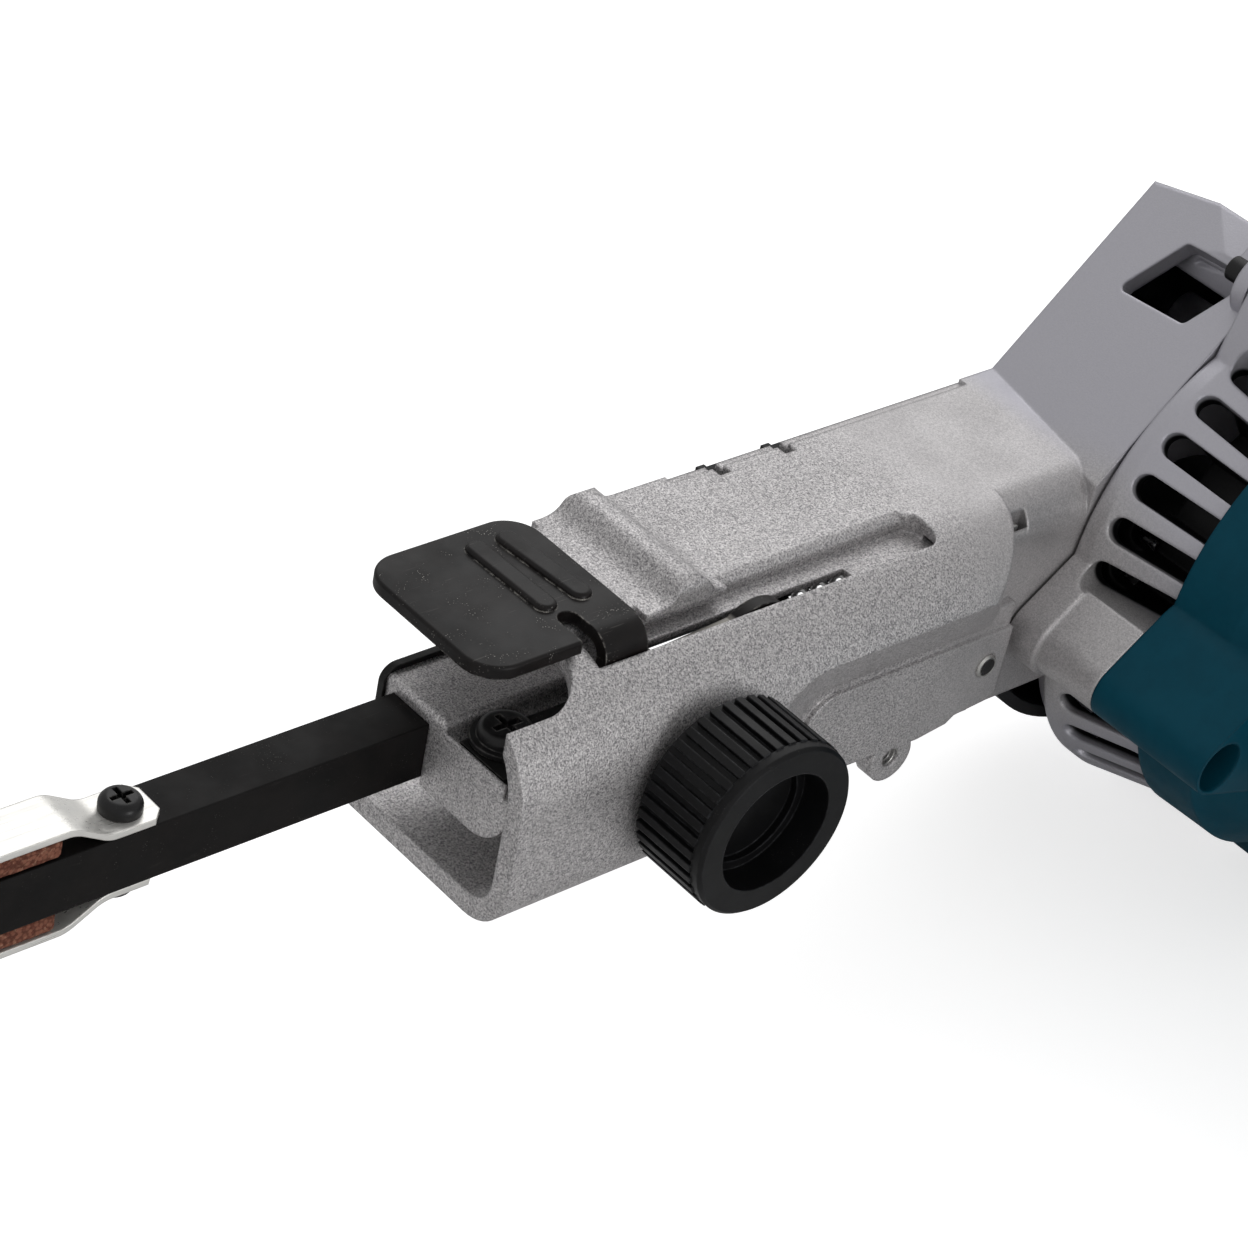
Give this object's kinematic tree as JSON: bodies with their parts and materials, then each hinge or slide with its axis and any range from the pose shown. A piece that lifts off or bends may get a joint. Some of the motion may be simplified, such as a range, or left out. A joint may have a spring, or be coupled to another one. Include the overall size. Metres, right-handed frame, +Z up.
{
  "type": "belt sander",
  "caption": "Narrow finger belt sander: a slim contact arm with cork-lined shoes and a nose roller, a cast arm holder with tension lever and tracking knob, and a motor grip at a right angle.",
  "frame": {"origin": "middle of the bounding box at its lowest point, with the tool lying on its lower housing lobe", "axes": "+X from the nose towards the rear, +Y to the far side where the belt cover is, +Z up; the handle runs towards -Y"},
  "size_m": [0.3027, 0.2184, 0.1071],
  "materials": {
    "cast_paint": "speckled silver paint on a casting",
    "smooth_paint": "smoother bluish silver paint",
    "blue_plastic": "semi-gloss dark teal",
    "black_plastic": "moulded black",
    "black_rubber": "matt black",
    "black_steel": "black coat, worn on the edges",
    "bright_steel": "bright plated",
    "light_alloy": "turned",
    "bronze": "sintered",
    "lamination": "stacked sheet",
    "copper": "enamelled wire and bars",
    "carbon": "pressed carbon",
    "cork": "red-brown granulated cork",
    "board": "green circuit board"
  },
  "bodies": {
    "housing": {"arm_holder": "cast_paint", "belt_cover": "black_plastic", "cover_screws": "bright_steel", "spring_bracket": "bright_steel", "guide_pin": "bright_steel", "lever_pin": "bright_steel", "tension_spring": "bright_steel", "gear_housing": "smooth_paint", "motor_housing": "blue_plastic", "motor_housing_screws": "bright_steel", "drive_bearing_far": "bright_steel", "drive_bearing_near": "bright_steel", "motor_front_bearing": "bright_steel", "motor_rear_bearing": "bright_steel", "field_core": "lamination", "field_coils": "copper", "brush_holders": "black_plastic", "carbon_brushes": "carbon", "brush_springs": "bright_steel", "brush_caps": "black_plastic", "handle_upper": "blue_plastic", "handle_lower": "blue_plastic", "handle_screws": "bright_steel", "switch_body": "black_plastic", "control_board": "board", "switch_pin": "bright_steel", "cord_gland": "black_rubber"},
    "carriage": {"slide_plate": "black_steel", "spring_guide_rod": "bright_steel"},
    "arm": {"arm_block": "cast_paint", "file_arm": "black_steel", "upper_shoe": "bright_steel", "lower_shoe": "bright_steel", "upper_cork_pad": "cork", "lower_cork_pad": "cork", "shoe_screws": "black_steel", "nose_axle": "bright_steel", "belt_guide_plate": "black_steel", "guide_plate_screws": "black_steel", "pivot_screw": "black_steel"},
    "nose_roller": {"idle_roller": "light_alloy", "idle_bushing": "bronze"},
    "lever": {"tension_lever": "black_steel"},
    "thrust": {"thrust_tip": "bright_steel"},
    "knob": {"tracking_knob": "black_plastic", "tracking_screw": "bright_steel"},
    "armature": {"armature_shaft": "bright_steel", "armature_core": "lamination", "armature_windings": "copper", "commutator": "copper", "cooling_fan": "black_plastic"},
    "drive": {"drive_shaft": "bright_steel", "drive_pulley": "light_alloy", "pulley_nut": "bright_steel", "drive_gear": "bright_steel"},
    "paddle": {"switch_lever": "black_plastic"},
    "button": {"lock_button": "black_plastic"},
    "dial": {"speed_dial": "black_plastic"}
  },
  "joints": [
    {"name": "lever_swing", "type": "hinge", "parent": "housing", "child": "lever", "pos_m": [0.00385, 0.0758, 0.06515], "axis": [0, 1, 0], "range_deg": [0, 126.87]},
    {"name": "carriage_slide", "type": "slide", "parent": "housing", "child": "carriage", "axis": [1, 0, 0], "range_m": [0, 0.008], "deforming": ["tension_spring"]},
    {"name": "arm_yaw", "type": "hinge", "parent": "carriage", "child": "arm", "pos_m": [-0.04185, 0.0784, 0.05765], "axis": [0, 0, 1], "range_deg": [-1.25, 1.25]},
    {"name": "roller_spin", "type": "hinge", "parent": "arm", "child": "nose_roller", "pos_m": [-0.14335, 0.0908, 0.05765], "axis": [0, 1, 0], "continuous": true},
    {"name": "knob_turn", "type": "hinge", "parent": "thrust", "child": "knob", "pos_m": [-0.01485, 0.0644, 0.05625], "axis": [0, 1, 0], "range_deg": [-255, 255]},
    {"name": "thrust_slide", "type": "slide", "parent": "housing", "child": "thrust", "axis": [0, 1, 0], "range_m": [-0.0006, 0.0006]},
    {"name": "armature_spin", "type": "hinge", "parent": "housing", "child": "armature", "pos_m": [0.10301, 0.0408, 0.05874], "axis": [0, 1, 0], "continuous": true},
    {"name": "drive_spin", "type": "hinge", "parent": "housing", "child": "drive", "pos_m": [0.08655, 0.0808, 0.05765], "axis": [0, 1, 0], "continuous": true},
    {"name": "paddle_press", "type": "hinge", "parent": "housing", "child": "paddle", "pos_m": [0.12101, -0.0382, 0.05874], "axis": [0, 0, -1], "range_deg": [0, 7], "stiffness_Nm_per_rad": 0.6, "springref_deg": -8.59},
    {"name": "lock_press", "type": "slide", "parent": "housing", "child": "button", "axis": [0, 0, -1], "range_m": [0, 0.0025], "stiffness_N_per_m": 400, "springref_m": -0.003},
    {"name": "dial_turn", "type": "hinge", "parent": "housing", "child": "dial", "pos_m": [0.10301, -0.0812, 0.07674], "axis": [1, 0, 0], "range_deg": [0, 270]}
  ],
  "couplings": [
    {"joint": "lever_swing", "follows": "carriage_slide", "rad_per_m": 276.78},
    {"joint": "thrust_slide", "follows": "knob_turn", "m_per_rad": 0.00012732},
    {"joint": "arm_yaw", "follows": "knob_turn", "ratio": 0.0047157},
    {"joint": "drive_spin", "follows": "armature_spin", "ratio": -0.375}
  ]
}
